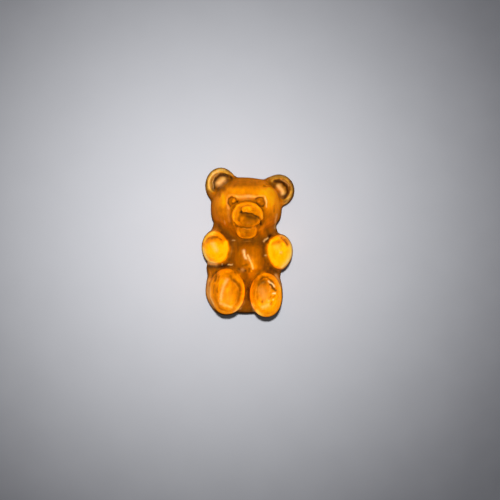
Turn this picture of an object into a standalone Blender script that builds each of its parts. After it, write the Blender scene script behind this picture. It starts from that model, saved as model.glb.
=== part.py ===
"""Gummy bear: one solid, cast in a mould that is open at the bear's back.

The bear lies on that flat back with its face up. +X is to the right as one looks down at
its face, +Y points to the top of the head and +Z is up. The origin is on the back, under
the middle of the bear.

Every form is a lobe: a domed crown on a nearly upright skirt that reaches down to the
back. Trunk, limbs and ears are fused, and the ears and soles hollowed. The head covers
the inner edge of the ears' hollows. The face comes last, with finer hollows, and the back
is cut flat. A bear is cast a little crooked: the ear, paw and foot at +X sit lower than
those at -X, so each has sizes of its own.
"""

import math
from collections import namedtuple

import bmesh
import bpy
from mathutils import Matrix, Vector

NODE = "gummy_bear"
MM = 0.001

# A lobe seen from above, where its skirt meets the back, and its height. waist is the
# share of the height where the crown starts. crown and plan say how boxy it is in
# section and seen from above: 2 is an ellipse. turn is anticlockwise.
Lobe = namedtuple(
    "Lobe",
    "x y half_width half_length top waist crown plan turn",
    defaults=(0.4, 2.3, 2.0, 0.0),
)

# A hollow, given by a rounded cutter that reaches down to floor. lean tips its floor
# down towards -Y.
Hollow = namedtuple(
    "Hollow",
    "x y half_width half_length floor half_height crown plan turn lean",
    defaults=(3.0, 2.0, 0.0, 0.0),
)

# The trunk and the head
TORSO = Lobe(-0.46 * MM, -2.80 * MM, 5.27 * MM, 7.40 * MM, 5.5 * MM, 0.35, 2.5, 2.7)
BELLY = Lobe(0.25 * MM, -2.50 * MM, 3.10 * MM, 3.35 * MM, 7.0 * MM, 0.50)
HEAD = Lobe(-0.22 * MM, 5.23 * MM, 5.17 * MM, 4.30 * MM, 7.7 * MM, 0.30, 2.2, 2.05)
CHEEKS = Lobe(-0.13 * MM, 2.80 * MM, 3.05 * MM, 2.45 * MM, 7.1 * MM, 0.60)

# The limbs, first at -X and then at +X
EARS = (
    Lobe(-3.92 * MM, 8.28 * MM, 2.28 * MM, 2.68 * MM, 3.9 * MM, 0.50, 2.5),
    Lobe(4.52 * MM, 7.60 * MM, 2.28 * MM, 2.38 * MM, 3.9 * MM, 0.50, 2.5),
)
PAWS = (
    Lobe(-4.52 * MM, -0.68 * MM, 2.20 * MM, 2.60 * MM, 7.7 * MM, 0.38, 2.4, 2.0, math.radians(5)),
    Lobe(4.46 * MM, -1.30 * MM, 2.10 * MM, 2.64 * MM, 7.7 * MM, 0.38, 2.4, 2.0, math.radians(-5)),
)
THIGHS = (
    Lobe(-3.12 * MM, -6.97 * MM, 3.04 * MM, 3.55 * MM, 5.4 * MM, 0.35, 2.4),
    Lobe(2.32 * MM, -6.95 * MM, 2.77 * MM, 3.42 * MM, 5.4 * MM, 0.35, 2.4),
)
FEET = (
    Lobe(-2.92 * MM, -6.90 * MM, 2.78 * MM, 3.54 * MM, 8.4 * MM, 0.55, 3.2, 2.1, math.radians(-3)),
    Lobe(2.58 * MM, -7.40 * MM, 2.52 * MM, 3.42 * MM, 8.4 * MM, 0.55, 3.2, 2.1, math.radians(4)),
)

# The face
MUZZLE = Lobe(-0.03 * MM, 3.96 * MM, 2.55 * MM, 2.16 * MM, 9.1 * MM, 0.72, 2.6)
NOSE = Lobe(-0.26 * MM, 4.78 * MM, 1.12 * MM, 0.90 * MM, 9.6 * MM, 0.88, 2.4)
JAW = Lobe(-0.13 * MM, 1.80 * MM, 1.80 * MM, 1.52 * MM, 7.8 * MM, 0.75, 3.0, 2.3)
UNDER_NOSE = Hollow(
    0.36 * MM, 2.95 * MM, 1.55 * MM, 1.35 * MM, 8.25 * MM, 1.2 * MM,
    2.4, 2.6, math.radians(-13), math.radians(14),
)
CHIN_DENT = Hollow(-0.13 * MM, 1.62 * MM, 1.15 * MM, 0.75 * MM, 7.66 * MM, 0.5 * MM, 2.2)
EYE_SPREAD = (-2.28 * MM, 1.84 * MM)
EYE_Y = 5.85 * MM
EYE_RING_RADIUS = 0.46 * MM
EYE_RING_THICKNESS = 0.24 * MM
EYE_RING_SINK = 0.04 * MM

# The hollows pressed into the ears and the soles
EAR_CUPS = (
    Hollow(-4.00 * MM, 8.58 * MM, 1.54 * MM, 1.54 * MM, 1.8 * MM, 2.2 * MM, 2.4),
    Hollow(4.64 * MM, 7.70 * MM, 1.54 * MM, 1.50 * MM, 1.8 * MM, 2.2 * MM, 2.4),
)
SOLES = (
    Hollow(-2.72 * MM, -7.12 * MM, 1.74 * MM, 2.48 * MM, 7.6 * MM, 1.6 * MM, 3.6, 2.2),
    Hollow(2.56 * MM, -7.30 * MM, 1.60 * MM, 2.44 * MM, 7.6 * MM, 1.6 * MM, 3.6, 2.2),
)

# The mould's walls, and how soft its edges are
DRAFT = math.tan(math.radians(3))
SKIRT_DEPTH = 1.0 * MM
BODY_VOXEL = 0.20 * MM
BODY_SMOOTHING = 7
FACE_VOXEL = 0.11 * MM
FACE_SMOOTHING = 3
SPARE_UNDER_BACK = 0.3 * MM
TRIANGLES = 11000

# Fineness of the lobes before they are fused
SEGMENTS = 48
RINGS = 24

ORANGE = (0.90, 0.26, 0.005, 1.0)
ROUGHNESS = 0.25


def clear_scene():
    for obj in list(bpy.data.objects):
        bpy.data.objects.remove(obj)
    for collection in list(bpy.data.collections):
        bpy.data.collections.remove(collection)


def new_collection(name):
    collection = bpy.data.collections.new(name)
    bpy.context.scene.collection.children.link(collection)
    return collection


def helper(name, bm, collection):
    """Makes the bmesh an object that only serves the casting."""
    bmesh.ops.recalc_face_normals(bm, faces=bm.faces)
    mesh = bpy.data.meshes.new(name)
    bm.to_mesh(mesh)
    bm.free()
    obj = bpy.data.objects.new(name, mesh)
    obj.hide_render = True
    obj.display_type = "WIRE"
    collection.objects.link(obj)
    return obj


def superellipse(angle, power):
    """The point of a unit superellipse at this angle."""
    c, s = math.cos(angle), math.sin(angle)
    return (
        math.copysign(abs(c) ** (2 / power), c),
        math.copysign(abs(s) ** (2 / power), s),
    )


def unit_sphere():
    bm = bmesh.new()
    bmesh.ops.create_uvsphere(bm, u_segments=SEGMENTS, v_segments=RINGS, radius=1.0)
    return bm


def raised(name, lobe, collection):
    """A lobe that stands on the back: a sphere whose lower half becomes the skirt."""
    waist_z = lobe.waist * lobe.top
    flat_end = 0.8
    bm = unit_sphere()
    for vert in bm.verts:
        ring = math.hypot(vert.co.x, vert.co.y)
        plan_x, plan_y = superellipse(math.atan2(vert.co.y, vert.co.x), lobe.plan)
        if vert.co.z >= 0:
            reach, rise = superellipse(math.atan2(vert.co.z, ring), lobe.crown)
            z = waist_z + rise * (lobe.top - waist_z)
            taper = DRAFT * waist_z
        else:
            fall = min(1.0, -vert.co.z / flat_end)
            reach = 1.0 if fall < 1.0 else ring / math.sqrt(1 - flat_end**2)
            z = waist_z - fall * (waist_z + SKIRT_DEPTH)
            taper = DRAFT * z
        vert.co.x = reach * plan_x * (lobe.half_width - taper)
        vert.co.y = reach * plan_y * (lobe.half_length - taper)
        vert.co.z = z
    bm.transform(Matrix.Translation((lobe.x, lobe.y, 0)) @ Matrix.Rotation(lobe.turn, 4, "Z"))
    return helper(name, bm, collection)


def pressed(name, hollow, collection):
    """The cutter of a hollow."""
    bm = unit_sphere()
    for vert in bm.verts:
        ring = math.hypot(vert.co.x, vert.co.y)
        plan_x, plan_y = superellipse(math.atan2(vert.co.y, vert.co.x), hollow.plan)
        reach, rise = superellipse(math.atan2(vert.co.z, ring), hollow.crown)
        vert.co.x = reach * plan_x * hollow.half_width
        vert.co.y = reach * plan_y * hollow.half_length
        vert.co.z = rise * hollow.half_height
    centre = (hollow.x, hollow.y, hollow.floor + hollow.half_height)
    turn = Matrix.Rotation(hollow.turn, 4, "Z")
    lean = Matrix.Rotation(hollow.lean, 4, "X")
    bm.transform(Matrix.Translation(centre) @ turn @ lean)
    return helper(name, bm, collection)


def crown_height(lobe, x, y):
    """Height of an unturned lobe's crown over this point."""
    waist_z = lobe.waist * lobe.top
    taper = DRAFT * waist_z
    across = abs(x - lobe.x) / (lobe.half_width - taper)
    along = abs(y - lobe.y) / (lobe.half_length - taper)
    reach = (across**lobe.plan + along**lobe.plan) ** (1 / lobe.plan)
    rise = max(0.0, 1 - reach**lobe.crown) ** (1 / lobe.crown)
    return waist_z + rise * (lobe.top - waist_z)


def on_head(x, y):
    """A matrix that stands upright on the head's surface over this point."""
    step = 0.1 * MM
    slope_x = (crown_height(HEAD, x + step, y) - crown_height(HEAD, x - step, y)) / (2 * step)
    slope_y = (crown_height(HEAD, x, y + step) - crown_height(HEAD, x, y - step)) / (2 * step)
    lean = Vector((-slope_x, -slope_y, 1)).to_track_quat("Z", "Y")
    return Matrix.Translation((x, y, crown_height(HEAD, x, y))) @ lean.to_matrix().to_4x4()


def eye_ring(name, x, collection):
    """The groove round an eyeball, square to the head's surface."""
    bm = bmesh.new()
    section = [
        bm.verts.new((
            EYE_RING_RADIUS + EYE_RING_THICKNESS * math.cos(angle),
            0,
            EYE_RING_THICKNESS * math.sin(angle) - EYE_RING_SINK,
        ))
        for angle in (math.tau * i / RINGS for i in range(RINGS))
    ]
    edges = [bm.edges.new(pair) for pair in zip(section, section[1:] + section[:1])]
    bmesh.ops.spin(
        bm,
        geom=section + edges,
        cent=(0, 0, 0),
        axis=(0, 0, 1),
        angle=math.tau,
        steps=SEGMENTS,
        use_merge=True,
    )
    bm.transform(on_head(x, EYE_Y))
    return helper(name, bm, collection)


def limbs(collection):
    raised("belly", BELLY, collection)
    for side in range(2):
        raised(f"ear_{side}", EARS[side], collection)
        raised(f"thigh_{side}", THIGHS[side], collection)
        raised(f"foot_{side}", FEET[side], collection)
        raised(f"paw_{side}", PAWS[side], collection)


def limb_hollows(collection):
    for side in range(2):
        pressed(f"ear_cup_{side}", EAR_CUPS[side], collection)
        pressed(f"sole_{side}", SOLES[side], collection)


def head(collection):
    raised("head", HEAD, collection)
    raised("cheeks", CHEEKS, collection)


def face(collection):
    raised("muzzle", MUZZLE, collection)
    raised("nose", NOSE, collection)
    raised("jaw", JAW, collection)


def face_hollows(collection):
    pressed("under_nose", UNDER_NOSE, collection)
    pressed("chin_dent", CHIN_DENT, collection)
    for side in range(2):
        eye_ring(f"eye_ring_{side}", EYE_SPREAD[side], collection)


def modifier(obj, kind, **settings):
    made = obj.modifiers.new(kind.title(), kind)
    for name, value in settings.items():
        setattr(made, name, value)
    return made


def fuse(obj, operation, make_pieces):
    """Joins the pieces that the function makes to the object, or cuts them from it."""
    pieces = new_collection(make_pieces.__name__)
    make_pieces(pieces)
    modifier(
        obj,
        "BOOLEAN",
        operation=operation,
        operand_type="COLLECTION",
        collection=pieces,
        solver="EXACT",
    )


def soften(obj, voxel, smoothing):
    """Gives the surface even faces and rounds its edges and creases."""
    modifier(obj, "REMESH", mode="VOXEL", voxel_size=voxel)
    modifier(obj, "SMOOTH", factor=0.5, iterations=smoothing)


def evaluated_mesh(obj):
    graph = bpy.context.evaluated_depsgraph_get()
    return bpy.data.meshes.new_from_object(obj.evaluated_get(graph))


def cast():
    """The bear with softened joins and its skirts still reaching under the back."""
    core = raised("torso", TORSO, new_collection("core"))
    fuse(core, "UNION", limbs)
    fuse(core, "DIFFERENCE", limb_hollows)
    fuse(core, "UNION", head)
    soften(core, BODY_VOXEL, BODY_SMOOTHING)
    fuse(core, "UNION", face)
    fuse(core, "DIFFERENCE", face_hollows)
    soften(core, FACE_VOXEL, FACE_SMOOTHING)
    return evaluated_mesh(core)


def cut_flat(mesh, height):
    """Takes off all below this height, and closes the cut with one flat face."""
    bm = bmesh.new()
    bm.from_mesh(mesh)
    bmesh.ops.bisect_plane(
        bm,
        geom=bm.verts[:] + bm.edges[:] + bm.faces[:],
        plane_co=(0, 0, height),
        plane_no=(0, 0, 1),
        clear_inner=True,
    )
    bmesh.ops.holes_fill(bm, edges=[edge for edge in bm.edges if edge.is_boundary])
    bmesh.ops.recalc_face_normals(bm, faces=bm.faces)
    bm.to_mesh(mesh)
    bm.free()


def thin_out(bear):
    """Leaves larger faces where the surface is plain."""
    triangles = sum(len(polygon.vertices) - 2 for polygon in bear.data.polygons)
    modifier(bear, "DECIMATE", ratio=TRIANGLES / triangles, use_collapse_triangulate=True)
    thinned = evaluated_mesh(bear)
    bear.modifiers.clear()
    bear.data = thinned


def centre(mesh):
    """Moves the middle of the back to the origin."""
    xs = [vert.co.x for vert in mesh.vertices]
    ys = [vert.co.y for vert in mesh.vertices]
    middle = Vector(((min(xs) + max(xs)) / 2, (min(ys) + max(ys)) / 2, 0))
    mesh.transform(Matrix.Translation(-middle))


def orange_gum():
    material = bpy.data.materials.new("orange_gum")
    material.use_nodes = True
    surface = material.node_tree.nodes["Principled BSDF"]
    surface.inputs["Base Color"].default_value = ORANGE
    surface.inputs["Roughness"].default_value = ROUGHNESS
    return material


def main():
    clear_scene()
    mesh = cast()
    clear_scene()
    bear = bpy.data.objects.new(NODE, mesh)
    new_collection("gummy bear").objects.link(bear)
    cut_flat(bear.data, -SPARE_UNDER_BACK)
    thin_out(bear)
    cut_flat(bear.data, 0.0)
    centre(bear.data)
    bear.data.materials.clear()
    bear.data.materials.append(orange_gum())


main()
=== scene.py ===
"""The looks of the gummy bear: clear orange gum, its light, the light-coloured table and the camera.

The gum's colour is painted light and shade, worked out from its own shape. Light travels a little
way through gum, so a small lobe such as a paw is painted glowing yellow, and the thick trunk and
the creases are painted in brown shade. Marks add painted highlights and shade, and a painted glow
lights the steep sides from within.
"""

import math
from typing import NamedTuple

import bpy
import numpy as np
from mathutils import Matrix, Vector, noise
from mathutils.bvhtree import BVHTree
from mathutils.kdtree import KDTree


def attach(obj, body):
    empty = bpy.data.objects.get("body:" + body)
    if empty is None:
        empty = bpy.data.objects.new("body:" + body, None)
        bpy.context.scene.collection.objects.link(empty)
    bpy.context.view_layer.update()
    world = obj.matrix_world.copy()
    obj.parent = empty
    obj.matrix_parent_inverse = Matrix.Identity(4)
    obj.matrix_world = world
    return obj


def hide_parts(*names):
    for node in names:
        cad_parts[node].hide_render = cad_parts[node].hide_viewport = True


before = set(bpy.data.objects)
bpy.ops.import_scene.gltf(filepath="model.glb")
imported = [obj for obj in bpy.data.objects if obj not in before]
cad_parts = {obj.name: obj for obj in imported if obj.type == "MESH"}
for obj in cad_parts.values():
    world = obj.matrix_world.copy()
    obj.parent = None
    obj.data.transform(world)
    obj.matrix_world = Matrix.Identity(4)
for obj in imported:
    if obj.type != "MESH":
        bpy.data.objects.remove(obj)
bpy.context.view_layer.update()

MM = 0.001
NODE = "gummy_bear"

# The photograph's frame, and the real size of its pixels on the table
IMAGE_PIXELS = 500
PIXEL = 0.1452 * MM
CAMERA_HEIGHT = 260 * MM
SENSOR = 36.0
VIEW_CENTRE = (0.29 * MM, -1.09 * MM)

# The visible surface
SAME_PLACE = 0.001 * MM
SUBDIVISIONS = 2
VOXEL = 0.112 * MM
SMOOTHING_ROUNDS = 2
SMOOTHING_STRENGTH = 0.5
WAVE_HEIGHT = 0.020 * MM
WAVE_LENGTH = 2.2 * MM
MARK_WANDER = 0.10
MARK_RIPPLE = 0.5 * MM
STEEPEST_MARKED = 0.125
SHORTEST_SQUARED = 1e-9

# The fold round the belly, and the slopes, from least to most upward, on which it is softened
BELLY_CENTRE = (0.20 * MM, -2.60 * MM)
BELLY_RADIUS = 2.9 * MM
BELLY_FOLD = 1.0 * MM
BELLY_SOFTENING = 160
BELLY_SLOPES = (0.2, 0.5)

# Where the outline is fuller or slimmer than the solid's: centre, radius and push, in millimetres
SWELLS = (
    # The cheeks above the neck
    ((-4.90, 2.90), 1.3, (-0.30, 0.00)),
    ((3.85, 3.20), 1.3, (0.28, 0.00)),
    # The left hip, and the tip of the right paw
    ((-5.75, -3.70), 0.9, (-0.28, 0.00)),
    ((4.60, -3.60), 0.9, (0.08, -0.14)),
    # The left thigh, and the left foot's outer edge, which is slimmer
    ((-5.95, -5.10), 0.8, (-0.15, 0.00)),
    ((-5.20, -8.90), 1.1, (0.12, 0.10)),
    # Where the ears run into the head
    ((-1.60, 9.30), 0.8, (0.18, 0.12)),
    ((2.60, 8.90), 0.8, (-0.08, 0.28)),
)

# How light travels in the gum, found by casting rays, to be painted into its colour as light and shade
COARSE_VOXEL = 0.27 * MM
RAYS = 28
RAY_START = 0.02 * MM
RAY_SPIN = 0.7
NEARLY_UPRIGHT = 0.9
GLOW_REACH = 4.0 * MM
BACK_LIGHT = 0.10
BACK_SLOPE = -0.7
TABLE_LIGHT = 0.55
NEAR_POINTS = 6
NEAR_SOFTENING = 0.05 * MM

# From light to tone, the painted light and shade, which is low where the gum is dark brown and high
# where it is bright yellow
TONE_AT_NO_LIGHT = -0.10
TONE_OF_GLOW = 1.90
MOST_GLOW = 0.34
FILLING_GLOW = (0.12, 0.30)
# Painted shade in creases, which less light reaches from outside
TONE_OF_OPEN = 0.36
# Painted light on ridges and rims, and painted shade in creases
TONE_OF_RIDGE = 0.15
MOST_RIDGE = 0.2
RIDGE_ROUNDS = 60
# Painted shade on low gum, between these heights
DIM_HEIGHTS = (2.4 * MM, 4.8 * MM)
DIM_SHARE = 0.60

# Painted shade makes low walls dark, most of all where they face the foot, away from the light, and
# low gum that glows counts as thin, with painted light through it
WALL_SHADE = 0.45
WALL_HEIGHTS = (4.4 * MM, 7.4 * MM)
SIDE_WALL_SLOPE = 0.10
FOOT_WALL_SLOPE = 0.45
SIDE_WALL_SHARE = 0.5
THIN_SHADE = 0.20
THIN_HEIGHTS = (3.4 * MM, 4.6 * MM)

# The painted glow that steep sides give off from within: emission that stands in for light through the
# gum
PAINTED_SIDE_GLOW = 0.35
PAINTED_SIDE_GLOW_WHERE_FILLED = 0.60
PAINTED_SIDE_GLOW_LOST_ON_WALLS = 0.6

# The gum's colours, by tone, where it is thick and where it is thin with painted light through it, and
# those of the painted highlights and light, by strength
TONE_COLOURS = (
    (0.00, (28, 13, 6)),
    (0.15, (72, 37, 8)),
    (0.25, (105, 57, 8)),
    (0.33, (128, 71, 5)),
    (0.45, (163, 88, 0)),
    (0.56, (198, 106, 0)),
    (0.68, (230, 129, 0)),
    (0.76, (247, 142, 0)),
    (0.82, (255, 157, 0)),
    (0.94, (255, 184, 0)),
    (1.00, (255, 191, 10)),
)
THIN_COLOURS = (
    (0.00, (28, 13, 6)),
    (0.25, (96, 52, 4)),
    (0.45, (150, 92, 14)),
    (0.58, (196, 134, 38)),
    (0.70, (232, 164, 52)),
    (0.85, (253, 186, 84)),
    (1.00, (255, 205, 120)),
)
PAINTED_LIGHT_COLOURS = (
    (0.00, (255, 208, 128)),
    (0.65, (255, 212, 135)),
    (1.00, (255, 242, 208)),
)

# The gain and the offset that turn tone, with its noise, into a place among the first two's colours
TONE_TO_RAMP = (0.77, 0.0)

# Its cloudiness and streaks: size and detail of the noise, and how much tone they add
BROAD_BLOTS = (2.4 * MM, 2.0)
FINE_BLOTS = (0.55 * MM, 3.0)
STREAKS = (0.45 * MM, 2.0)
STREAK_STRETCH = (1.0, 0.3, 0.7)
BROAD_TONE = 0.20
FINE_TONE = 0.18
STREAK_TONE = 0.30

# Its gloss and bump
ROUGHNESS_GAIN = 0.25
LEAST_ROUGHNESS = 0.27
BUMP_HEIGHT = 0.015 * MM
GLOSS_TINT = (255, 165, 65)

# The table, the painted pool of light on it, and its grain
TABLE_REACH = 400 * MM
POOL_CENTRE = (-5.5 * MM, 2 * MM)
POOL_RADIUS = 61 * MM
TABLE_COLOUR = (0.66, 0.668, 0.71)
DIM_TABLE_COLOUR = (0.12, 0.122, 0.135)
TABLE_GRAIN = (6 * MM, 4.0)
GRAIN_TONE = 0.04
TABLE_ROUGHNESS_GAIN = 0.2
LEAST_TABLE_ROUGHNESS = 0.7

# The light
FLASH_SIZE = 11 * MM
FLASH_POWER = 0.655
FLASH_PLACE = (0, 29 * MM, 257 * MM)
ROOM_LIGHT = 0.10


class Mark(NamedTuple):
    """A stroke or spot on the bear's front, along a path in millimetres: tone for painted light and
    shade, height for real relief, and painted light for painted highlights and light through thin gum.
    """

    path: tuple
    half_width: float
    tone: float = 0.0
    height: float = 0.0
    painted_light: float = 0.0


HEAD_PAINTED_SHADING = (
    # Painted shade: the muzzle and the jaw are dimmer than other lobes of their size
    Mark(((-0.05, 4.40), (-0.05, 3.90)), 2.00, tone=-0.32),
    Mark(((-0.05, 2.90),), 1.60, tone=-0.06),
    Mark(((-0.15, 1.40),), 1.50, tone=-0.16),
    Mark(((-1.50, 4.40), (-1.50, 3.40)), 0.80, tone=-0.10),
    Mark(((1.60, 4.30), (1.60, 3.40)), 0.70, tone=-0.12),
    # Painted light: the gum beside and between them lets light through
    Mark(((-1.00, 2.00), (1.20, 2.00)), 0.35, tone=0.14),
    Mark(((2.90, 3.20), (2.20, 1.80)), 0.60, tone=0.06),
    Mark(((2.00, 2.30), (1.80, 1.50)), 0.30, tone=0.10),
    Mark(((2.25, 1.75), (2.00, 1.00)), 0.30, tone=0.12),
    Mark(((-3.40, 2.55),), 0.40, tone=0.10),
    # Painted light on the bright forehead and temples
    Mark(((2.20, 8.20), (3.90, 7.20), (4.60, 5.40)), 1.00, tone=0.16),
    Mark(((-3.40, 7.00), (-2.20, 7.20)), 1.00, tone=0.08),
    Mark(((0.00, 7.30),), 1.30, tone=0.08),
    Mark(((0.80, 6.90), (2.40, 6.70)), 0.50, tone=0.14),
    Mark(((2.90, 7.55), (3.80, 7.40)), 0.38, tone=0.10),
    Mark(((3.60, 6.20), (3.55, 5.20)), 0.40, tone=0.10),
    Mark(((-3.45, 6.40), (-3.25, 5.40)), 0.30, tone=0.12),
    Mark(((2.00, 7.30), (3.00, 6.70), (3.00, 5.25)), 0.66, tone=0.16),
    Mark(((-3.55, 6.55), (-3.65, 5.25)), 0.46, tone=0.18),
    Mark(((-2.70, 7.55), (-0.70, 7.30)), 0.40, tone=0.07),
    # Painted shade on the dimmer crown and cheeks, and on the edge of the right temple
    Mark(((-4.20, 7.80), (-2.50, 8.10), (0.00, 8.20), (2.20, 8.10)), 0.45, tone=-0.17),
    Mark(((-2.55, 8.45), (-0.30, 8.55), (2.00, 8.45)), 0.30, tone=-0.06),
    Mark(((3.25, 3.60),), 0.70, tone=-0.10),
    Mark(((-4.10, 4.30), (-3.80, 2.85)), 0.56, tone=-0.08),
    Mark(((4.50, 6.90), (4.50, 6.00)), 0.35, tone=-0.14),
)
EAR_PAINTED_SHADING = (
    # Painted shade makes the right ear browner than the left
    Mark(((3.20, 9.40), (4.80, 9.40), (6.00, 8.20), (6.10, 6.80)), 0.90, tone=-0.14),
    Mark(((6.00, 8.70), (6.15, 7.60)), 0.20, tone=-0.20),
    # Painted light where the crests run into the head
    Mark(((-3.00, 10.10), (-2.20, 9.70)), 0.24, tone=0.24),
    Mark(((5.95, 6.50), (5.40, 5.40)), 0.16, tone=0.26, painted_light=0.14),
    Mark(((5.20, 5.45),), 0.30, tone=0.20),
    # Painted shade at the foot of each ear, and inside the left one's crest
    Mark(((-4.10, 6.75), (-4.05, 7.40), (-3.40, 7.60)), 0.34, tone=-0.24),
    Mark(((-5.60, 6.90), (-5.00, 6.20)), 0.35, tone=-0.08),
    Mark(((5.10, 6.60), (5.15, 6.00)), 0.34, tone=-0.24),
    Mark(((-3.60, 9.75), (-2.90, 9.60)), 0.16, tone=-0.14),
)
TRUNK_PAINTED_SHADING = (
    # Painted shade on the belly and the trunk beside it, and painted light on the belly's foot
    Mark(((0.25, -2.00),), 2.20, tone=-0.11),
    Mark(((-2.10, -0.40), (-2.40, -2.20)), 1.20, tone=-0.10),
    Mark(((2.20, 0.00), (2.50, -2.40)), 1.20, tone=-0.14),
    Mark(((2.25, -0.30), (2.25, -1.80)), 0.30, tone=-0.16),
    Mark(((0.60, -2.80), (0.75, -3.80), (0.60, -4.60)), 0.70, tone=0.28),
    # Painted shade on the neck, and in the hollows between the cheeks and the paws
    Mark(((-1.50, 0.00), (1.50, 0.00)), 0.70, tone=-0.08),
    Mark(((-4.10, 2.30), (-2.70, 0.70)), 0.35, tone=-0.18),
    Mark(((-3.75, 1.30), (-3.10, 0.60)), 0.22, tone=-0.26),
    Mark(((-2.60, 0.60), (-2.45, -0.30)), 0.32, tone=-0.14),
    Mark(((3.25, 1.00), (2.70, 0.20)), 0.28, tone=-0.28),
    Mark(((2.60, 1.80), (2.90, 0.90)), 0.30, tone=-0.16),
    # Painted shade at the waist and the hips
    Mark(((-5.50, -3.40), (-3.90, -3.45), (-2.90, -3.30)), 0.32, tone=-0.36),
    Mark(((3.40, -3.70), (4.00, -4.20)), 0.35, tone=-0.16),
    Mark(((-6.05, -4.30), (-6.00, -5.20)), 0.22, tone=-0.22),
)
PAW_PAINTED_SHADING = (
    # Painted light keeps the paws bright out to their edges
    Mark(((-3.05, 0.00), (-2.94, -0.80), (-3.22, -2.10), (-4.05, -2.78)), 0.28, tone=0.44),
    Mark(((-3.45, -2.60),), 0.28, tone=0.20),
    Mark(((-6.35, 0.20), (-5.90, 1.00), (-4.90, 1.50)), 0.38, tone=0.34, painted_light=0.10),
    Mark(((-6.50, -0.80), (-6.20, -2.00), (-5.50, -2.90), (-4.60, -3.10)), 0.30, tone=0.44, painted_light=0.26),
    Mark(((3.25, 0.30), (2.92, -0.90), (3.14, -2.15), (3.95, -3.10)), 0.27, tone=0.42),
    Mark(((4.75, 1.15), (5.20, 1.05), (6.00, 0.50), (6.45, -0.50)), 0.30, tone=0.40, painted_light=0.34),
    Mark(((6.30, -0.30), (6.30, -1.40), (5.60, -2.80), (4.90, -3.70)), 0.35, tone=0.40, painted_light=0.20),
    # Painted shade on the dim top of the left paw
    Mark(((-5.20, 0.60), (-4.40, 0.80), (-3.60, 0.30)), 0.70, tone=-0.16),
)
FEET_PAINTED_SHADING = (
    # Painted shade makes the soles dimmer than other lobes of their size, and painted light brightens
    # their middles
    Mark(((-2.75, -5.40), (-2.75, -8.60)), 2.30, tone=-0.22),
    Mark(((2.60, -5.60), (2.60, -8.80)), 2.20, tone=-0.29),
    Mark(((-2.70, -6.20), (-2.60, -7.60)), 1.00, tone=0.25),
    Mark(((2.50, -6.80), (2.60, -8.20)), 1.00, tone=0.24),
    # Their dimmest parts, in painted shade
    Mark(((-4.60, -7.00), (-4.60, -8.20), (-4.00, -9.00)), 0.75, tone=-0.26),
    Mark(((-1.20, -7.20), (-1.35, -8.60)), 0.50, tone=-0.20),
    Mark(((-4.80, -5.00), (-4.75, -6.00)), 0.34, tone=-0.20),
    Mark(((3.40, -5.80), (3.70, -6.80)), 0.50, tone=-0.16),
    Mark(((1.15, -5.00), (0.75, -6.40), (0.70, -8.20)), 0.40, tone=-0.28),
    # The feet's upper ends: painted shade outside the rims, and painted light on them
    Mark(((-4.40, -5.10), (-3.60, -4.40), (-2.40, -4.50)), 0.45, tone=-0.16),
    Mark(((-4.20, -4.50),), 0.30, tone=-0.16),
    Mark(((-1.30, -3.80),), 0.24, tone=-0.18),
    Mark(((1.45, -4.45),), 0.24, tone=-0.20),
    Mark(((-1.20, -4.55),), 0.24, tone=0.18),
    Mark(((2.30, -4.35),), 0.26, tone=0.16),
    # Painted shade in the gap between the feet
    Mark(((0.05, -6.60), (0.05, -8.20)), 0.20, tone=-0.14),
    # Painted light where the flanks and the lower edges catch light
    Mark(((-5.35, -4.40), (-5.50, -5.40)), 0.26, tone=0.24),
    Mark(((-5.70, -5.40), (-5.85, -7.00), (-5.45, -8.50), (-4.90, -9.20)), 0.33, tone=0.24, painted_light=0.20),
    Mark(((4.00, -4.70), (4.75, -5.80), (4.85, -6.60)), 0.35, tone=0.35),
    Mark(((-1.35, -9.30), (-0.70, -8.50)), 0.26, tone=0.28, painted_light=0.10),
    Mark(((1.25, -9.70), (2.00, -10.50)), 0.24, tone=0.20, painted_light=0.16),
)
EYE_MARKS = (
    # The left socket, its arched lid, and the fold under it: shallow relief with painted shade
    Mark(((-2.25, 5.85),), 0.55, tone=-0.20, height=-0.14),
    Mark(((-1.50, 5.75), (-1.90, 6.25), (-2.40, 6.40), (-2.75, 6.05), (-2.80, 5.55),
         (-2.55, 5.10)), 0.12, tone=-0.40, height=-0.08),
    Mark(((-2.20, 5.40), (-1.75, 5.65), (-1.35, 5.85)), 0.10, tone=-0.32, height=-0.06),
    # Painted light in it, by the corner nearest the nose and round it, on slight rises
    Mark(((-2.10, 5.85),), 0.22, tone=0.40, height=0.06),
    Mark(((-1.60, 5.30),), 0.28, tone=0.22, height=0.05),
    Mark(((-1.60, 5.90), (-1.95, 6.20)), 0.18, tone=0.26),
    Mark(((-2.90, 6.40), (-3.00, 5.85), (-2.90, 5.10),
         (-2.70, 4.70)), 0.10, tone=0.12, height=0.03, painted_light=0.16),
    Mark(((-2.70, 6.60), (-2.10, 6.70), (-1.40, 6.30)), 0.14, tone=0.16, height=0.03, painted_light=0.10),
    # The right socket, its lid and its fold: shallow relief with painted shade
    Mark(((1.75, 5.80),), 0.55, tone=-0.14, height=-0.14),
    Mark(((1.15, 6.15), (1.55, 6.35), (2.00, 6.35), (2.25, 6.05), (2.35, 5.55),
         (2.20, 5.10)), 0.12, tone=-0.46, height=-0.08),
    Mark(((1.30, 5.55), (1.70, 5.25), (2.00, 5.10)), 0.18, tone=-0.30, height=-0.04),
    # Painted light in it and round it, on slight rises
    Mark(((1.65, 5.75),), 0.24, tone=0.20, height=0.05),
    Mark(((2.40, 6.40), (2.58, 5.85), (2.58, 5.00)), 0.09, tone=0.20, height=0.03, painted_light=0.60),
    Mark(((1.00, 6.40), (1.55, 6.60), (2.25, 6.55)), 0.12, tone=0.12, height=0.03, painted_light=0.15),
)
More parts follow.
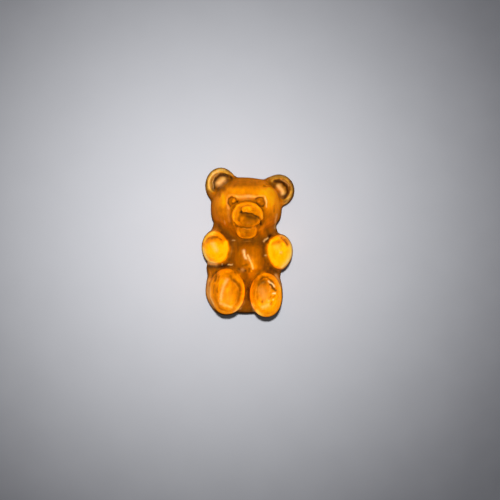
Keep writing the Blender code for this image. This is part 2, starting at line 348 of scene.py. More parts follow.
MUZZLE_MARKS = (
    # The crease round the muzzle: a shallow groove with painted shade in it
    Mark(((-2.10, 4.80), (-1.75, 5.30), (-1.10, 5.70), (-0.25, 5.90), (0.55, 5.80), (1.25, 5.50),
         (1.85, 4.95), (2.20, 4.40)), 0.12, tone=-0.18, height=-0.03),
    Mark(((-2.30, 4.55), (-2.50, 3.70), (-2.40, 2.85), (-2.05, 2.30)), 0.14, tone=-0.12, height=-0.02),
    Mark(((2.25, 4.10), (2.30, 3.25), (2.05, 2.40)), 0.14, tone=-0.14, height=-0.02),
    # Its rounded rim, raised a little, with painted light on it
    Mark(((-1.25, 5.25), (-0.55, 5.55), (0.30, 5.55), (1.15, 5.25), (1.70, 4.65), (2.00, 3.95),
         (2.05, 3.35)), 0.16, tone=0.16, height=0.01),
    Mark(((-1.40, 5.10), (-1.80, 4.55), (-2.00, 3.85), (-1.95, 3.05)), 0.18, tone=0.16, height=0.03),
    Mark(((-1.90, 2.60),), 0.28, tone=0.34),
    # Painted shade on the gum inside the rim
    Mark(((-1.25, 3.20), (-0.95, 2.40)), 0.38, tone=-0.16),
    Mark(((1.25, 3.30), (1.15, 2.40)), 0.40, tone=-0.22),
    Mark(((-1.00, 4.90), (-0.90, 4.35)), 0.22, tone=-0.12),
    Mark(((-1.80, 3.25), (-1.70, 2.90)), 0.12, tone=-0.20, height=-0.02),
    # The nose: the line round its top, in painted shade, its crown, in painted light, and a scratch
    # with painted shade in it
    Mark(((-1.00, 4.25), (-0.95, 4.75), (-0.55, 5.10), (0.00, 5.25),
         (0.45, 5.15)), 0.10, tone=-0.26, height=-0.05),
    Mark(((-0.70, 4.60), (-0.15, 4.85), (0.45, 4.65)), 0.22, tone=0.14, height=0.01),
    Mark(((-0.25, 4.35),), 0.12, tone=0.16, painted_light=0.10),
    Mark(((0.30, 4.35), (1.00, 4.40)), 0.08, tone=-0.16, height=-0.02),
    # The step under the nose, running down to the right, and the scoop that it shades: shallow relief
    # with painted shade
    Mark(((-1.05, 4.25), (-0.70, 4.05), (-0.15, 4.05), (0.45, 3.95), (1.00, 3.70), (1.60, 3.45),
         (1.85, 3.15), (1.85, 2.55)), 0.13, tone=-0.46, height=-0.14),
    Mark(((-0.75, 3.85), (0.15, 3.70), (0.95, 3.35)), 0.30, tone=-0.30, height=-0.05),
    Mark(((-1.10, 4.10), (-1.20, 3.55), (-1.25, 3.00)), 0.12, tone=-0.18),
    Mark(((-0.85, 2.70), (0.30, 2.70), (1.25, 2.85)), 0.36, tone=0.04),
    # The mouth: a groove with painted shade in it
    Mark(((-1.95, 2.75), (-1.70, 2.35), (-1.25, 2.15), (-0.55, 2.05),
         (0.45, 2.05)), 0.10, tone=-0.30, height=-0.06),
    Mark(((2.00, 2.55), (1.55, 2.00)), 0.12, tone=-0.12, height=-0.02),
)
JAW_MARKS = (
    # The jaw's upper edge and its round rim, raised a little, with a touch of painted shade on the
    # edge and painted light on the rim
    Mark(((-1.10, 1.85), (0.00, 1.75), (1.00, 1.85)), 0.14, tone=-0.04, height=0.03),
    Mark(((-1.35, 1.75), (-1.20, 1.00), (-0.85, 0.65), (-0.25, 0.50), (0.45, 0.65), (0.90, 1.15),
         (1.20, 1.75)), 0.14, tone=0.14, height=0.03),
    # Its dished middle, its corners and a scratch, with painted shade
    Mark(((-0.15, 1.15),), 0.42, tone=-0.08, height=-0.03),
    Mark(((-1.25, 1.75),), 0.34, tone=-0.30),
    Mark(((1.15, 1.70), (1.20, 1.20)), 0.26, tone=-0.18),
    Mark(((-0.55, 1.35), (0.15, 1.40)), 0.08, tone=-0.12, height=-0.02),
)
HEAD_MARKS = (
    # The brow's soft painted highlight, on a slight rise
    Mark(((-1.55, 6.45), (-0.70, 6.40), (0.15, 6.50),
         (0.85, 6.40)), 0.20, tone=0.22, height=0.03, painted_light=0.22),
    Mark(((-0.10, 6.45), (0.40, 6.50)), 0.16, painted_light=0.20),
    # Thin painted highlights down the cheeks, on slight rises
    Mark(((4.10, 4.00), (3.95, 3.00), (3.85, 2.00)), 0.12, height=0.03, painted_light=0.30),
    Mark(((-3.40, 3.10), (-3.25, 2.65)), 0.08, tone=0.05, height=0.02, painted_light=0.20),
    Mark(((-2.75, 4.95), (-2.80, 4.10), (-2.60, 3.00)), 0.18, tone=0.04, height=0.02, painted_light=0.06),
    # A dent by the right ear, and two scratches, with painted shade in them
    Mark(((2.25, 8.00), (3.10, 7.95)), 0.12, tone=-0.24, height=-0.06),
    Mark(((2.55, 8.30), (3.05, 8.25)), 0.08, tone=-0.18, height=-0.03),
    Mark(((3.70, 5.25), (3.70, 4.40)), 0.12, tone=-0.16, height=-0.03),
)
EAR_MARKS = (
    # The left ear: painted light on the crest, a painted glint, painted shade on the sunken wall,
    # painted light through the thin floor, and painted shade on the gum beside the head
    Mark(((-5.50, 7.80), (-5.50, 8.95), (-5.00, 9.90), (-4.00, 10.45),
         (-3.45, 10.45)), 0.24, tone=0.42, painted_light=0.04),
    Mark(((-4.95, 7.65), (-5.10, 8.80), (-4.80, 9.50),
         (-4.20, 9.95)), 0.08, tone=0.12, height=0.02, painted_light=0.46),
    Mark(((-4.88, 7.80), (-4.90, 8.40), (-4.65, 9.15), (-4.00, 9.60), (-3.00, 9.65),
         (-2.35, 9.30)), 0.18, tone=-0.50, height=-0.06),
    Mark(((-4.20, 8.55), (-3.60, 9.00)), 0.40, tone=0.30, painted_light=0.55),
    Mark(((-3.15, 8.65), (-2.35, 9.00)), 0.32, tone=-0.22),
    # The same painted light and shade in the right ear
    Mark(((3.15, 9.30), (4.30, 9.60), (5.15, 9.50), (5.95, 8.75), (6.35, 7.65),
         (6.05, 6.50)), 0.22, tone=0.14, painted_light=0.04),
    Mark(((4.75, 9.00), (5.30, 8.80), (5.85, 8.10)), 0.10, tone=0.34, height=0.02, painted_light=0.50),
    Mark(((3.90, 8.75), (4.90, 8.65), (5.55, 8.05), (5.65, 7.25),
         (5.30, 6.40)), 0.18, tone=-0.50, height=-0.06),
    Mark(((4.40, 8.10), (4.85, 7.50), (5.00, 7.05)), 0.29, tone=0.30, painted_light=0.52),
    Mark(((3.10, 8.55), (3.80, 8.00)), 0.28, tone=-0.26),
)
PAW_MARKS = (
    # The left paw's crescent and the folds along it: shallow relief, with painted shade
    Mark(((-5.95, 0.05), (-5.85, 0.45), (-5.35, 0.60), (-4.80, 0.75), (-4.25, 0.75),
         (-3.80, 0.40)), 0.20, tone=-0.30, height=-0.06),
    Mark(((-5.20, 0.90), (-4.30, 0.85)), 0.14, tone=-0.26, height=-0.03),
    Mark(((-5.65, 0.20), (-4.60, 0.45), (-3.75, 0.20)), 0.34, tone=-0.16, height=0.03),
    # Painted shade on its side, and in the line inside its lower rim
    Mark(((-6.20, -0.10), (-6.20, -1.10)), 0.14, tone=-0.14),
    Mark(((-6.05, -1.65), (-5.50, -2.35), (-4.95, -2.70)), 0.12, tone=-0.16, height=-0.03),
    # Painted highlights on its rim and middle
    Mark(((-6.30, -1.10), (-6.05, -2.10), (-5.50, -2.80),
         (-4.80, -2.90)), 0.16, height=0.02, painted_light=0.34),
    Mark(((-4.95, -0.25), (-4.45, -1.10)), 0.28, height=0.04, painted_light=0.36),
    # The right paw's orange band and dark crescent, both painted shade
    Mark(((3.30, -0.25), (3.90, 0.00), (4.50, 0.10)), 0.26, tone=-0.34, height=-0.05),
    Mark(((4.80, 0.60), (5.25, 0.25), (5.60, -0.30)), 0.24, tone=-0.56, height=-0.06),
    Mark(((4.40, 0.85), (4.75, 0.85)), 0.08, tone=-0.22, height=-0.02),
    Mark(((4.25, 0.30), (4.65, -0.40)), 0.22, tone=-0.10),
    # Painted highlights on its rim and middle, and a painted glint
    Mark(((5.70, 0.75), (6.15, -0.10), (6.35, -1.10), (6.05, -2.10), (5.35, -3.05),
         (4.80, -3.55)), 0.14, height=0.02, painted_light=0.38),
    Mark(((4.10, -0.65),), 0.42, height=0.02, painted_light=0.14),
    Mark(((4.65, -1.45),), 0.16, height=0.03, painted_light=0.45),
)
BELLY_MARKS = (
    # The broken streak of painted highlight down the belly, on a low ridge
    Mark(((-0.62, -1.20), (-0.55, -1.75), (-0.30, -2.25)), 0.18, tone=0.20, height=0.05, painted_light=0.78),
    Mark(((0.00, -1.80), (0.20, -2.50), (0.55, -3.05),
         (0.70, -3.70)), 0.11, tone=0.32, height=0.05, painted_light=0.58),
    Mark(((-0.15, -2.00), (0.10, -2.50), (0.30, -2.95)), 0.08, tone=-0.16, height=-0.03),
    # Painted light beside it
    Mark(((1.00, -1.50), (1.30, -2.35)), 0.55, tone=0.04),
    Mark(((1.15, -3.50), (1.70, -3.55)), 0.32, tone=0.18, height=0.03),
    # Small dents and bumps at its foot, with painted shade in the dents and painted light on the bumps
    Mark(((-0.75, -3.30), (-0.15, -3.20)), 0.12, tone=-0.18, height=-0.03),
    Mark(((-0.35, -4.05),), 0.14, tone=-0.34, height=-0.04),
    Mark(((0.20, -3.75), (0.20, -4.15)), 0.12, tone=-0.36, height=-0.05),
    Mark(((0.50, -4.05),), 0.12, tone=0.34, height=0.03),
    Mark(((-0.75, -3.90),), 0.24, tone=0.04, height=0.02, painted_light=0.22),
    Mark(((2.90, -3.05),), 0.16, tone=-0.10, height=-0.03),
    Mark(((2.85, -3.70),), 0.16, tone=0.16, height=0.03),
    # Painted glints in the creases about it
    Mark(((2.30, 0.20), (2.80, 0.60)), 0.12, tone=0.05, height=0.03, painted_light=0.55),
    Mark(((-2.20, 0.30), (-1.90, 0.30)), 0.08, tone=0.05, height=0.02, painted_light=0.32),
    Mark(((2.35, -1.85), (2.65, -1.85)), 0.08, tone=0.05, height=0.02, painted_light=0.36),
    Mark(((-3.65, -3.00), (-3.65, -3.25)), 0.08, tone=0.05, height=0.02, painted_light=0.32),
    Mark(((-2.75, -3.20), (-2.25, -3.15)), 0.08, tone=0.05, height=0.03, painted_light=0.60),
)
LEFT_SOLE_MARKS = (
    # Painted light on the bright stretches of the rim
    Mark(((-2.25, -4.60), (-1.70, -4.95), (-1.25, -5.40)), 0.22, tone=0.12, height=0.03),
    Mark(((-3.00, -4.15), (-2.45, -4.10)), 0.12, tone=0.22, height=0.02),
    Mark(((-0.60, -6.00), (-0.58, -7.60)), 0.20, tone=0.14),
    # Painted shade on the edge inside it
    Mark(((-1.95, -5.35), (-1.55, -5.70), (-1.20, -6.20),
         (-1.05, -6.70)), 0.24, tone=-0.34, height=-0.07),
    Mark(((-1.15, -7.30), (-1.35, -8.15)), 0.24, tone=-0.20, height=-0.03),
    # Streaks of painted shade at the top, down the outer side and along the lower end
    Mark(((-1.90, -4.25), (-1.70, -4.35)), 0.12, tone=-0.28, height=-0.03),
    Mark(((-2.45, -4.75), (-2.30, -5.30)), 0.16, tone=-0.26, height=-0.03),
    Mark(((-4.55, -4.25), (-4.50, -4.90), (-4.65, -5.45)), 0.16, tone=-0.34, height=-0.05),
    Mark(((-4.05, -4.90), (-4.25, -5.90), (-4.35, -7.00)), 0.12, tone=-0.20, height=-0.03),
    Mark(((-4.80, -6.00), (-4.90, -7.15)), 0.14, tone=-0.14, height=-0.02),
    Mark(((-4.50, -6.45), (-4.50, -8.00)), 0.30, tone=-0.10),
    Mark(((-4.10, -9.25), (-3.10, -9.70), (-2.10, -9.70)), 0.14, tone=-0.14, height=-0.02),
    # The long bent painted highlight, and painted light in the middle
    Mark(((-2.95, -5.25), (-3.35, -5.90), (-3.60, -6.70), (-3.75, -7.55),
         (-3.80, -8.05)), 0.20, tone=0.04, height=0.05, painted_light=0.42),
    Mark(((-3.80, -8.55), (-3.25, -8.85), (-2.40, -9.15)), 0.20, tone=0.06, height=0.04, painted_light=0.32),
    Mark(((-2.80, -6.50),), 0.48, tone=0.14),
    # Painted light on the outer and lower rims
    Mark(((-5.50, -6.45), (-5.40, -7.70), (-4.90, -8.70)), 0.14, height=0.02, painted_light=0.34),
    Mark(((-1.95, -9.80), (-1.10, -9.45)), 0.14, tone=0.16, height=0.02, painted_light=0.30),
)
RIGHT_SOLE_MARKS = (
    # Painted light on the rim's upper end
    Mark(((1.35, -4.80), (2.10, -4.35), (2.85, -4.55)), 0.18, tone=0.12, height=0.03),
    Mark(((1.50, -5.10),), 0.26, tone=0.20),
    # Painted shade in the crescent inside it, and on the side towards the other foot
    Mark(((1.75, -5.25), (2.10, -4.95), (2.70, -4.95), (3.15, -5.25),
         (3.65, -5.90)), 0.12, tone=-0.34, height=-0.06),
    Mark(((1.75, -5.65), (2.25, -5.60)), 0.36, tone=-0.32, height=-0.03),
    Mark(((3.20, -5.90), (3.45, -6.45), (3.90, -6.80)), 0.16, tone=-0.58, height=-0.07),
    Mark(((1.50, -5.90), (1.30, -7.00), (1.35, -8.00)), 0.14, tone=-0.16, height=-0.03),
    # The painted glints
    Mark(((2.90, -5.45), (3.35, -5.75), (3.80, -6.30)), 0.08, tone=0.30, height=0.05, painted_light=1.00),
    Mark(((3.50, -7.25), (3.85, -7.20)), 0.10, tone=0.30, height=0.05, painted_light=1.00),
    Mark(((3.55, -8.05),), 0.11, tone=0.24, height=0.05, painted_light=0.80),
    Mark(((2.90, -8.20),), 0.12, tone=0.04, height=0.02, painted_light=0.28),
    # Small pits, with painted shade in them
    Mark(((3.80, -7.50), (3.55, -7.70)), 0.12, tone=-0.30, height=-0.04),
    Mark(((2.00, -8.40),), 0.16, tone=-0.38, height=-0.06),
    Mark(((3.25, -8.45), (3.20, -8.80)), 0.14, tone=-0.38, height=-0.06),
    Mark(((3.05, -7.95), (3.25, -7.65)), 0.12, tone=-0.22, height=-0.03),
    Mark(((2.75, -10.00), (2.95, -10.00)), 0.12, tone=-0.18, height=-0.02),
    # Painted light in the middle, and at the lower end
    Mark(((3.10, -6.25), (3.05, -6.95)), 0.12, tone=0.14, height=0.03, painted_light=0.08),
    Mark(((2.00, -6.85), (2.25, -7.70)), 0.46, tone=0.04, height=0.03, painted_light=0.14),
    Mark(((2.10, -9.10), (2.85, -8.85)), 0.24, tone=0.06, height=0.04, painted_light=0.36),
    # Painted light on the rims
    Mark(((0.55, -8.70), (0.85, -9.70), (1.55, -10.25)), 0.14, height=0.02, painted_light=0.32),
    Mark(((3.95, -4.60), (4.50, -5.60), (4.70, -6.45)), 0.16, tone=-0.04, height=0.02, painted_light=0.30),
)
MARKS = (
    *HEAD_PAINTED_SHADING,
    *EAR_PAINTED_SHADING,
    *TRUNK_PAINTED_SHADING,
    *PAW_PAINTED_SHADING,
    *FEET_PAINTED_SHADING,
    *EYE_MARKS,
    *MUZZLE_MARKS,
    *JAW_MARKS,
    *HEAD_MARKS,
    *EAR_MARKS,
    *PAW_MARKS,
    *BELLY_MARKS,
    *LEFT_SOLE_MARKS,
    *RIGHT_SOLE_MARKS,
)


def evaluated(obj):
    graph = bpy.context.evaluated_depsgraph_get()
    return bpy.data.meshes.new_from_object(obj.evaluated_get(graph))


def modify(obj, kind, **settings):
    made = obj.modifiers.new(kind.title(), kind)
    for name, value in settings.items():
        setattr(made, name, value)


def reshaped(mesh, name, *steps):
    """A new mesh: the given one after these modifiers."""
    obj = bpy.data.objects.new(name, mesh)
    bpy.context.scene.collection.objects.link(obj)
    for kind, settings in steps:
        modify(obj, kind, **settings)
    made = evaluated(obj)
    bpy.data.objects.remove(obj)
    return made


def points(mesh):
    co = np.empty(len(mesh.vertices) * 3, np.float32)
    mesh.vertices.foreach_get("co", co)
    return co.reshape(-1, 3).astype(float)


def normals(mesh):
    found = np.empty(len(mesh.vertices) * 3, np.float32)
    mesh.vertex_normals.foreach_get("vector", found)
    return found.reshape(-1, 3).astype(float)


def set_points(mesh, co):
    mesh.vertices.foreach_set("co", co.astype(np.float32).ravel())
    mesh.update()


def smooth_step(value, low, high):
    """From 0 at low to 1 at high, with soft ends."""
    share = np.clip((value - low) / (high - low), 0, 1)
    return share * share * (3 - 2 * share)


def neighbour_mean(mesh, values, rounds):
    """The values after this many rounds of averaging with their neighbours."""
    ends = np.empty(len(mesh.edges) * 2, np.int32)
    mesh.edges.foreach_get("vertices", ends)
    a, b = ends.reshape(-1, 2).T
    count = np.bincount(ends, minlength=len(values))[:, None]
    values = values.reshape(len(values), -1)
    for _ in range(rounds):
        total = np.column_stack([
            np.bincount(a, column[b], len(values)) + np.bincount(b, column[a], len(values))
            for column in values.T
        ])
        values = 0.5 * values + 0.5 * total / count
    return values


def crease_back_rim(mesh):
    """Keeps the edge of the flat back crisp when the surface is subdivided."""
    co = points(mesh)
    low = co[:, 2] < SAME_PLACE
    ends = np.empty(len(mesh.edges) * 2, np.int32)
    mesh.edges.foreach_get("vertices", ends)
    on_back = low[ends.reshape(-1, 2)].all(axis=1)
    crease = mesh.attributes.new("crease_edge", "FLOAT", "EDGE")
    crease.data.foreach_set("value", on_back.astype(np.float32))


def smooth_surface(cad_mesh):
    """The CAD solid's surface with its facets smoothed away, in small even faces."""
    mesh = cad_mesh.copy()
    crease_back_rim(mesh)
    return reshaped(
        mesh,
        "smoothing",
        ("WELD", {"merge_threshold": SAME_PLACE}),
        ("SUBSURF", {"levels": SUBDIVISIONS, "render_levels": SUBDIVISIONS}),
        ("REMESH", {"mode": "VOXEL", "voxel_size": VOXEL}),
        ("SMOOTH", {"factor": SMOOTHING_STRENGTH, "iterations": SMOOTHING_ROUNDS}),
    )


def soften_belly(mesh):
    """Rounds the fold round the belly, which swells gently out of the trunk."""
    co = points(mesh)
    way = np.hypot(co[:, 0] - BELLY_CENTRE[0], co[:, 1] - BELLY_CENTRE[1]) - BELLY_RADIUS
    weight = np.exp(-(way / BELLY_FOLD) ** 2) * smooth_step(normals(mesh)[:, 2], *BELLY_SLOPES)
    soft = neighbour_mean(mesh, co, BELLY_SOFTENING)
    set_points(mesh, co + (soft - co) * weight[:, None])


def swell_outline(mesh):
    """Makes the outline a little fuller or slimmer where SWELLS says so."""
    co = points(mesh)
    for centre, radius, push in SWELLS:
        way = np.hypot(co[:, 0] / MM - centre[0], co[:, 1] / MM - centre[1])
        co[:, :2] += np.outer(np.exp(-(way / radius) ** 2), push) * MM
    set_points(mesh, co)


def gentle_waves(co):
    """A cast surface is never quite even: low waves, the same every time."""
    return np.array([noise.noise(Vector(p) / WAVE_LENGTH) for p in co])


def way_to_path(spots, path):
    """How far each spot, seen from the front, is from a path, in millimetres."""
    nearest = np.full(len(spots), np.inf)
    for start, end in zip(path, path[1:] or path):
        start, along = np.array(start), np.subtract(end, start)
        share = np.clip((spots - start) @ along / max(along @ along, SHORTEST_SQUARED), 0, 1)
        off = spots - start - share[:, None] * along
        nearest = np.minimum(nearest, np.hypot(off[:, 0], off[:, 1]))
    return nearest


def mark_front(co, up):
    """What all the marks together do to each point's tone of painted light and shade, its height, and
    its painted light.
    """
    done = np.zeros((3, len(co)))
    wander = MARK_WANDER * np.array([noise.noise_vector(Vector(p) / MARK_RIPPLE) for p in co])
    spots = co[:, :2] / MM + wander[:, :2]
    faces_up = np.clip(up[:, 2] / STEEPEST_MARKED, 0, 1)
    for mark in MARKS:
        weight = faces_up * np.exp(-(way_to_path(spots, mark.path) / mark.half_width) ** 2)
        done += np.outer((mark.tone, mark.height, mark.painted_light), weight)
    return done


def add_relief(mesh):
    """Waves and marks as real relief. Gives each point's painted tone of light and shade and its
    painted light from the marks.
    """
    co = points(mesh)
    up = normals(mesh)
    tone, height, painted_light = mark_front(co, up)
    offset = WAVE_HEIGHT * gentle_waves(co) + height * MM
    co = co + up * offset[:, None]
    co[:, 2] = np.maximum(co[:, 2], 0.0)
    set_points(mesh, co)
    return tone, painted_light


def hemisphere(count):
    """Directions spread evenly about +Z, more of them near it."""
    turn = math.pi * (3 - math.sqrt(5))
    made = []
    for i in range(count):
        share = (i + 0.5) / count
        ring = math.sqrt(share)
        made.append((ring * math.cos(i * turn), ring * math.sin(i * turn), math.sqrt(1 - share)))
    return np.array(made)


def about(normal, directions, spin):
    """The directions turned to stand about this normal, spun round it."""
    side = np.cross(normal, (0.0, 0.0, 1.0) if abs(normal[2]) < NEARLY_UPRIGHT else (1.0, 0.0, 0.0))
    side /= np.linalg.norm(side)
    other = np.cross(normal, side)
    c, s = math.cos(spin), math.sin(spin)
    return directions @ np.array([c * side + s * other, c * other - s * side, normal])


def openness(tree, co, up):
    """The share of light that reaches each point from outside."""
    directions = hemisphere(RAYS)
    lit = np.empty(len(co))
    for i, (p, n) in enumerate(zip(co, up)):
        start = p + n * RAY_START
        total = 0.0
        for ray in about(n, directions, i * RAY_SPIN):
            if tree.ray_cast(Vector(start), Vector(ray))[0] is None:
                total += 1.0 if ray[2] > 0 else TABLE_LIGHT
        lit[i] = total / RAYS
    return lit


def glow(tree, face_light, co, up):
    """The light that comes to each point through the gum, less with the way it travels."""
    directions = hemisphere(RAYS)
    found = np.empty(len(co))
    for i, (p, n) in enumerate(zip(co, up)):
        start = p - n * RAY_START
        total = 0.0
        for ray in about(-n, directions, i * RAY_SPIN):
            place, _, face, way = tree.ray_cast(Vector(start), Vector(ray))
            if place is None:
                total += 1.0
                continue
            total += face_light[face] * math.exp(-way / GLOW_REACH)
        found[i] = total / RAYS
    return found


def light_study(mesh):
    """Openness and glow on a coarse copy of the surface, with its points."""
    coarse = reshaped(mesh.copy(), "study", ("REMESH", {"mode": "VOXEL", "voxel_size": COARSE_VOXEL}))
    co, up = points(coarse), normals(coarse)
    faces = [tuple(polygon.vertices) for polygon in coarse.polygons]
    tree = BVHTree.FromPolygons([Vector(p) for p in co], faces)
    lit = openness(tree, co, up)
    face_light = np.array([
        lit[list(face)].mean() * (BACK_LIGHT if up[face[0]][2] < BACK_SLOPE else 1.0) for face in faces
    ])
    return co, lit, glow(tree, face_light, co, up)


def spread(study_co, values, co):
    """Carries the study's values over to finer points."""
    tree = KDTree(len(study_co))
    for i, p in enumerate(study_co):
        tree.insert(p, i)
    tree.balance()
    made = np.empty((len(co), len(values)))
    values = np.array(values).T
    for i, p in enumerate(co):
        near = tree.find_n(p, NEAR_POINTS)
        weights = np.array([1 / (way + NEAR_SOFTENING) for _, _, way in near])
        made[i] = weights @ values[[index for _, index, _ in near]] / weights.sum()
    return made.T


def ridges(mesh):
    """Above 0 on ridges and rims, below 0 in creases, in millimetres of height."""
    co = points(mesh)
    stands_out = co - neighbour_mean(mesh, co, RIDGE_ROUNDS)
    return (stands_out * normals(mesh)).sum(axis=1) / MM


def store(mesh, name, values):
    layer = mesh.attributes.new(name, "FLOAT", "POINT")
    layer.data.foreach_set("value", values.astype(np.float32))


def shades(mesh, through, lit):
    """How bright, how thin and how lit from within the gum is painted at each point, before the marks.

    Where much light comes through, the painted light fills the creases too, and keeps steep sides
    bright. Low walls are painted dark, most of all where they face the foot of the bear, away from the
    light.
    """
    height = points(mesh)[:, 2]
    facing = normals(mesh)
    filled = smooth_step(through, *FILLING_GLOW)
    tone = TONE_AT_NO_LIGHT + TONE_OF_GLOW * np.minimum(through, MOST_GLOW)
    tone += TONE_OF_OPEN * (lit + (1 - lit) * filled)
    tone += TONE_OF_RIDGE * np.clip(ridges(mesh), -MOST_RIDGE, MOST_RIDGE)
    tone *= DIM_SHARE + (1 - DIM_SHARE) * smooth_step(height, *DIM_HEIGHTS)
    to_foot = np.clip(-facing[:, 1], 0, 1) ** 2
    wall_slope = SIDE_WALL_SLOPE + (FOOT_WALL_SLOPE - SIDE_WALL_SLOPE) * to_foot
    steep = smooth_step(-facing[:, 2] / wall_slope, -1, 0)
    wall = steep * (1 - smooth_step(height, *WALL_HEIGHTS))
    wall *= SIDE_WALL_SHARE + (1 - SIDE_WALL_SHARE) * to_foot
    thin = filled * (1 - smooth_step(height, *THIN_HEIGHTS))
    painted_glow = (1 - np.abs(facing[:, 2])) * (PAINTED_SIDE_GLOW + PAINTED_SIDE_GLOW_WHERE_FILLED * filled)
    painted_glow *= (1 - PAINTED_SIDE_GLOW_LOST_ON_WALLS * wall) * (1 - thin)
    return tone - WALL_SHADE * wall - THIN_SHADE * thin, thin, painted_glow


def make_bear():
    mesh = smooth_surface(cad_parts[NODE].data)
    soften_belly(mesh)
    swell_outline(mesh)
    study_co, lit, through = light_study(mesh)
    marked_tone, marked_painted_light = add_relief(mesh)
    lit, through = spread(study_co, (lit, through), points(mesh))
    tone, thin, painted_glow = shades(mesh, through, lit)
    # Painted light and shade, thin gum with light through it, painted highlights and the painted glow,
    # stored for the material
    store(mesh, "tone", tone + marked_tone)
    store(mesh, "thin", thin)
    store(mesh, "painted_light", np.clip(marked_painted_light, 0, 1))
    store(mesh, "painted_glow", painted_glow)
    mesh.shade_smooth()
    bear = bpy.data.objects.new("bear", mesh)
    bpy.context.scene.collection.objects.link(bear)
    bear.data.materials.clear()
    bear.data.materials.append(orange_gum())
    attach(bear, "root")
    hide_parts(NODE)
    return bear


def srgb(red, green, blue):
    """A colour given as 8-bit screen values, in the linear values that shaders use."""
    def linear(value):
        value /= 255
        return value / 12.92 if value <= 0.04045 else ((value + 0.055) / 1.055) ** 2.4
    return (linear(red), linear(green), linear(blue), 1.0)


def new_material(name):
    material = bpy.data.materials.new(name)
    material.use_nodes = True
    nodes = material.node_tree.nodes
    return material, nodes, material.node_tree.links, nodes["Principled BSDF"]


def attribute(nodes, name):
    node = nodes.new("ShaderNodeAttribute")
    node.attribute_name = name
    return node.outputs["Fac"]


def mottle(nodes, links, place, size, detail):
    """Soft noise from 0 to 1, with blots of this size."""
    node = nodes.new("ShaderNodeTexNoise")
    node.inputs["Scale"].default_value = 1 / size
    node.inputs["Detail"].default_value = detail
    links.new(place, node.inputs["Vector"])
    return node.outputs["Fac"]


def scaled(nodes, links, value, gain, base):
    """value * gain + base, where base is a number or another output."""
    node = nodes.new("ShaderNodeMath")
    node.operation = "MULTIPLY_ADD"
    links.new(value, node.inputs[0])
    node.inputs[1].default_value = gain
    if isinstance(base, float):
        node.inputs[2].default_value = base
    else:
        links.new(base, node.inputs[2])
    return node.outputs[0]


def tone_ramp(nodes, links, tone, colours):
    ramp = nodes.new("ShaderNodeValToRGB")
    stops = ramp.color_ramp.elements
    while len(stops) < len(colours):
        stops.new(1.0)
    for stop, (place, colour) in zip(stops, colours):
        stop.position = place
        stop.color = srgb(*colour)
    links.new(tone, ramp.inputs["Fac"])
    return ramp.outputs["Color"]


def blend(nodes, links, share, first, second):
    """From the first colour to the second as the share goes from 0 to 1."""
    node = nodes.new("ShaderNodeMix")
    node.data_type = "RGBA"
    links.new(share, node.inputs["Factor"])
    for socket, colour in ((node.inputs["A"], first), (node.inputs["B"], second)):
        if isinstance(colour, tuple):
            socket.default_value = colour
        else:
            links.new(colour, socket)
    return node.outputs["Result"]


def orange_gum():
    """Clear gum: its colour follows the tone, which is painted light and shade, with painted
    highlights and a painted glow from within. It is a little cloudy, with a soft uneven gloss.
    """
    material, nodes, links, surface = new_material("orange_gum")
    place = nodes.new("ShaderNodeTexCoord").outputs["Object"]
    stretch = nodes.new("ShaderNodeMapping")
    stretch.inputs["Scale"].default_value = STREAK_STRETCH
    links.new(place, stretch.inputs["Vector"])
    broad = mottle(nodes, links, place, *BROAD_BLOTS)
    fine = mottle(nodes, links, place, *FINE_BLOTS)
    streaks = mottle(nodes, links, stretch.outputs["Vector"], *STREAKS)
    tone = scaled(nodes, links, broad, BROAD_TONE, attribute(nodes, "tone"))
    tone = scaled(nodes, links, fine, FINE_TONE, tone)
    tone = scaled(nodes, links, streaks, STREAK_TONE, tone)
    tone = scaled(nodes, links, tone, *TONE_TO_RAMP)
    # Painted light and shade: the tone picks the colour, and thin gum with light through it takes
    # paler, more golden ones
    deep = tone_ramp(nodes, links, tone, TONE_COLOURS)
    slight = tone_ramp(nodes, links, tone, THIN_COLOURS)
    gum = blend(nodes, links, attribute(nodes, "thin"), deep, slight)
    # Painted highlights, and painted light through thin floors, blend towards cream
    painted_light = attribute(nodes, "painted_light")
    gum = blend(nodes, links, painted_light, gum, tone_ramp(nodes, links, painted_light, PAINTED_LIGHT_COLOURS))
    links.new(gum, surface.inputs["Base Color"])
    # The painted glow: emission in the gum's own colour, standing in for light through the gum
    painted_glow_colour = blend(nodes, links, attribute(nodes, "painted_glow"), (0.0, 0.0, 0.0, 1.0), gum)
    links.new(painted_glow_colour, surface.inputs["Emission Color"])
    surface.inputs["Emission Strength"].default_value = 1.0
    roughness = scaled(nodes, links, fine, ROUGHNESS_GAIN, LEAST_ROUGHNESS)
    links.new(roughness, surface.inputs["Roughness"])
    bump = nodes.new("ShaderNodeBump")
    bump.inputs["Strength"].default_value = 0.5
    bump.inputs["Distance"].default_value = BUMP_HEIGHT
    links.new(fine, bump.inputs["Height"])
    links.new(bump.outputs["Normal"], surface.inputs["Normal"])
    surface.inputs["Specular IOR Level"].default_value = 0.25
    surface.inputs["Specular Tint"].default_value = srgb(*GLOSS_TINT)
    surface.inputs["Subsurface Weight"].default_value = 0.25
    surface.inputs["Subsurface Radius"].default_value = (1.0, 0.45, 0.15)
    surface.inputs["Subsurface Scale"].default_value = 0.35 * MM
    return material


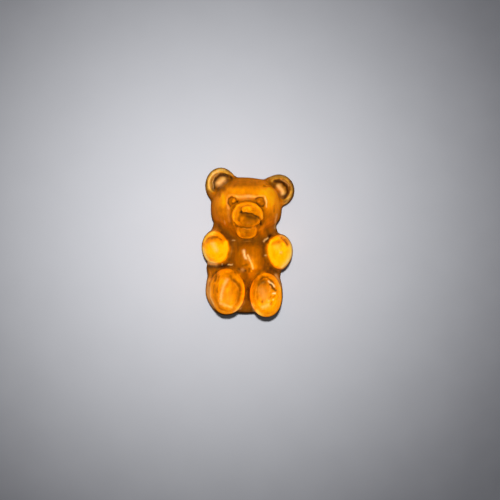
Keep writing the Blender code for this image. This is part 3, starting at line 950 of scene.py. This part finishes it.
def pale_table():
    """Matt and faintly grained. A pool of light is painted on it, fading evenly outwards."""
    material, nodes, links, surface = new_material("pale_table")
    place = nodes.new("ShaderNodeTexCoord").outputs["Object"]
    shift = nodes.new("ShaderNodeVectorMath")
    shift.operation = "SUBTRACT"
    links.new(place, shift.inputs[0])
    shift.inputs[1].default_value = (*POOL_CENTRE, 0)
    way = nodes.new("ShaderNodeVectorMath")
    way.operation = "LENGTH"
    links.new(shift.outputs["Vector"], way.inputs[0])
    # The painted pool of light: the colour darkens from its centre outwards
    fade = nodes.new("ShaderNodeMapRange")
    fade.interpolation_type = "SMOOTHSTEP"
    fade.inputs["From Max"].default_value = POOL_RADIUS
    links.new(way.outputs["Value"], fade.inputs["Value"])
    grain = mottle(nodes, links, place, *TABLE_GRAIN)
    dimness = scaled(nodes, links, grain, GRAIN_TONE, fade.outputs["Result"])
    colour = blend(nodes, links, dimness, (*TABLE_COLOUR, 1.0), (*DIM_TABLE_COLOUR, 1.0))
    links.new(colour, surface.inputs["Base Color"])
    roughness = scaled(nodes, links, grain, TABLE_ROUGHNESS_GAIN, LEAST_TABLE_ROUGHNESS)
    links.new(roughness, surface.inputs["Roughness"])
    surface.inputs["Specular IOR Level"].default_value = 0.1
    return material


def make_table():
    mesh = bpy.data.meshes.new("table")
    corners = [(x * TABLE_REACH, y * TABLE_REACH, 0) for x, y in ((-1, -1), (1, -1), (1, 1), (-1, 1))]
    mesh.from_pydata(corners, [], [(0, 1, 2, 3)])
    table = bpy.data.objects.new("table", mesh)
    bpy.context.scene.collection.objects.link(table)
    mesh.materials.append(pale_table())
    table.visible_glossy = False


def aim(obj, target):
    obj.rotation_euler = (Vector(target) - obj.location).to_track_quat("-Z", "Y").to_euler()


def make_lights():
    flash = bpy.data.lights.new("flash", "AREA")
    flash.shape = "DISK"
    flash.size = FLASH_SIZE
    flash.energy = FLASH_POWER
    flash_obj = bpy.data.objects.new("flash", flash)
    flash_obj.location = FLASH_PLACE
    aim(flash_obj, (0, 0, 0))
    bpy.context.scene.collection.objects.link(flash_obj)
    world = bpy.data.worlds.new("studio")
    world.use_nodes = True
    background = world.node_tree.nodes["Background"]
    background.inputs["Color"].default_value = (1.0, 1.0, 1.0, 1.0)
    background.inputs["Strength"].default_value = ROOM_LIGHT
    bpy.context.scene.world = world
    world.cycles_visibility.glossy = False


def make_camera():
    camera = bpy.data.cameras.new("camera")
    camera.sensor_width = SENSOR
    camera.lens = SENSOR * CAMERA_HEIGHT / (IMAGE_PIXELS * PIXEL)
    camera.clip_start = 1 * MM
    camera_obj = bpy.data.objects.new("camera", camera)
    camera_obj.location = (*VIEW_CENTRE, CAMERA_HEIGHT)
    bpy.context.scene.collection.objects.link(camera_obj)
    bpy.context.scene.camera = camera_obj


make_bear()
make_table()
make_lights()
make_camera()
bpy.context.scene.view_settings.view_transform = "Standard"
